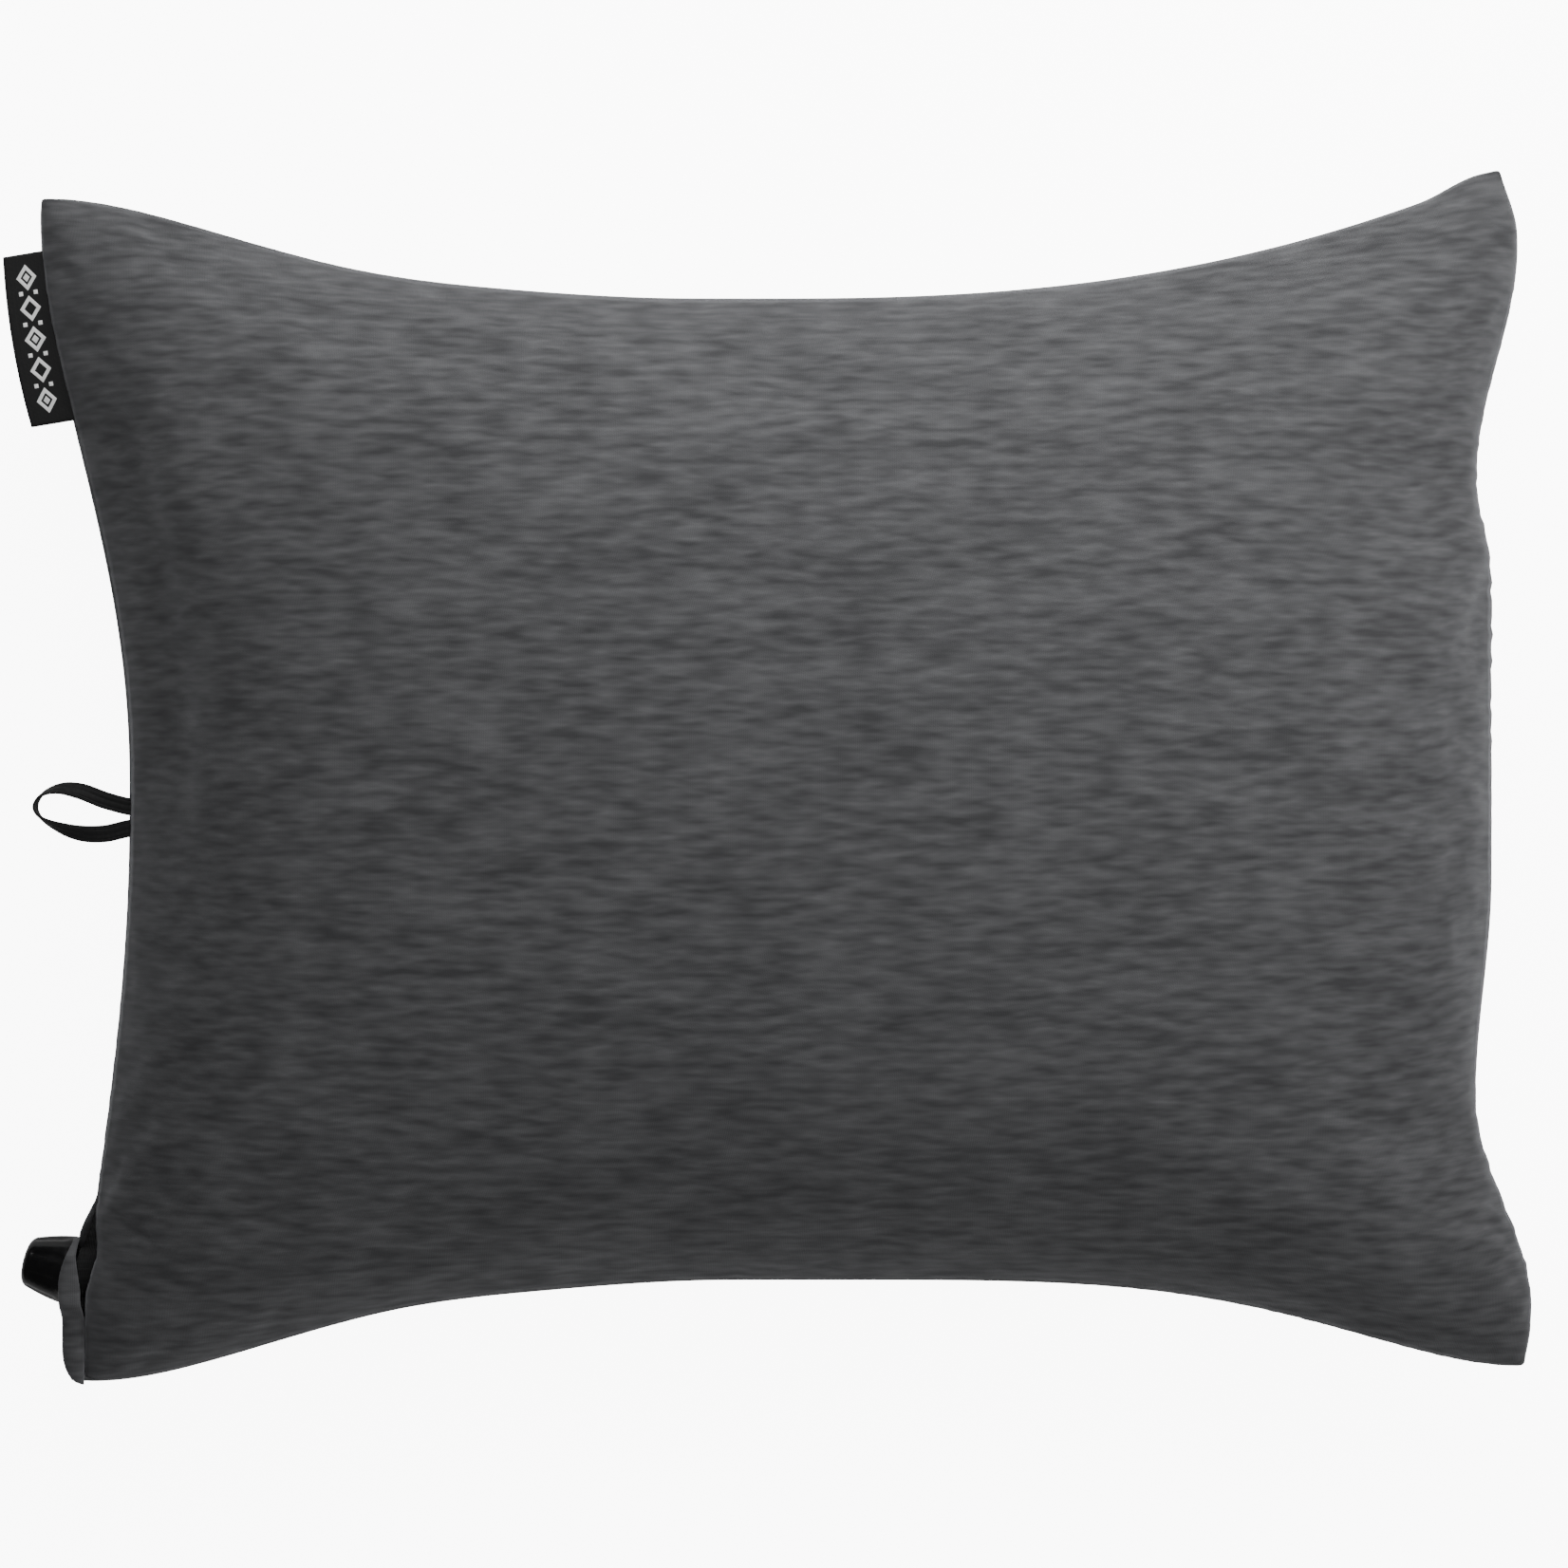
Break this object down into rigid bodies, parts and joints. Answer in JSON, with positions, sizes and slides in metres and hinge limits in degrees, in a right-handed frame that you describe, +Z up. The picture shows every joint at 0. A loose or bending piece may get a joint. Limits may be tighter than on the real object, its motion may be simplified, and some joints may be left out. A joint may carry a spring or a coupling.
{
  "type": "camp pillow",
  "caption": "Stretch knit camp pillow with a foam topper over an inflatable bladder, a twist valve at one corner, a side zip, a webbing hang loop and a folded side label.",
  "frame": {"origin": "middle of the flat patch on the underside that the pillow rests on", "axes": "+Z up out of the front panel, +X along the pillow's length away from the valve and label side, +Y across it towards the label's end"},
  "size_m": [0.4406, 0.3502, 0.102],
  "materials": {
    "knit_cover": "matte",
    "zip_tape": "matte",
    "zip_coil": "satin",
    "zip_metal": "satin",
    "woven_label": "matte",
    "webbing": "matte",
    "care_tape": "matte",
    "open_cell_foam": "matte",
    "coated_film": "satin",
    "valve_plastic": "satin",
    "seal_rubber": "satin"
  },
  "bodies": {
    "back": {"cover_back_panel": "knit_cover", "bladder_bottom_film": "coated_film", "care_label": "care_tape", "zip_tape_front": "zip_tape", "zip_tape_back": "zip_tape", "zip_coil_front": "zip_coil", "zip_coil_back": "zip_coil"},
    "crown": {"cover_front_panel": "knit_cover", "foam_topper": "open_cell_foam", "bladder_top_film": "coated_film", "bladder_web_1": "coated_film", "bladder_web_2": "coated_film", "bladder_web_3": "coated_film"},
    "rim": {"cover_corner_strip": "knit_cover", "valve_base": "valve_plastic", "valve_gusset": "webbing"},
    "label": {"side_label": "woven_label"},
    "loop": {"hang_loop": "webbing"},
    "valve_rod": {"valve_plunger": "valve_plastic", "valve_o_ring": "seal_rubber"},
    "valve_cap": {"valve_cap": "valve_plastic"},
    "zip_line": {"zip_top_stops": "zip_coil", "zip_bottom_stop": "zip_coil"},
    "slider": {"zip_slider": "zip_metal"},
    "pull": {"zip_pull": "zip_metal"}
  },
  "joints": [
    {"name": "crown_press", "type": "slide", "parent": "back", "child": "crown", "axis": [0, 0, -1], "range_m": [0, 0.046], "stiffness_N_per_m": 1500, "springref_m": -0.0008, "deforming": ["cover_front_panel", "cover_back_panel", "foam_topper", "bladder_top_film", "bladder_bottom_film", "bladder_web_1", "bladder_web_2", "bladder_web_3", "care_label", "zip_tape_front", "zip_tape_back", "zip_coil_front", "zip_coil_back"]},
    {"name": "rim_drop", "type": "slide", "parent": "back", "child": "rim", "axis": [0, 0, -1], "range_m": [0, 0.0208]},
    {"name": "zip_drop", "type": "slide", "parent": "back", "child": "zip_line", "axis": [0, 0, -1], "range_m": [0, 0.015]},
    {"name": "label_flex", "type": "hinge", "parent": "rim", "child": "label", "pos_m": [-0.2106, 0.1273, 0.046], "axis": [-0.165, 0.9863, 0], "range_deg": [-60, 60], "stiffness_Nm_per_rad": 0.004},
    {"name": "loop_flex", "type": "hinge", "parent": "rim", "child": "loop", "pos_m": [-0.1902, -0.0122, 0.046], "axis": [0, 1, 0], "range_deg": [-60, 60], "stiffness_Nm_per_rad": 0.01},
    {"name": "valve_lift", "type": "slide", "parent": "rim", "child": "valve_rod", "axis": [-0.9781, 0.2079, 0], "range_m": [0, 0.004]},
    {"name": "valve_twist", "type": "hinge", "parent": "valve_rod", "child": "valve_cap", "pos_m": [-0.2065, -0.1441, 0.042], "axis": [-0.9781, 0.2079, 0], "range_deg": [0, 180]},
    {"name": "slider_run", "type": "slide", "parent": "zip_line", "child": "slider", "axis": [0, 1, 0], "range_m": [0, 0.134]},
    {"name": "pull_swing", "type": "hinge", "parent": "slider", "child": "pull", "pos_m": [-0.18171, -0.078, 0.02891], "axis": [-0.809, 0, 0.5878], "range_deg": [-80, 80]}
  ],
  "couplings": [
    {"joint": "rim_drop", "follows": "crown_press", "ratio": 0.451},
    {"joint": "zip_drop", "follows": "crown_press", "ratio": 0.325},
    {"joint": "valve_twist", "follows": "valve_lift", "rad_per_m": 785}
  ]
}
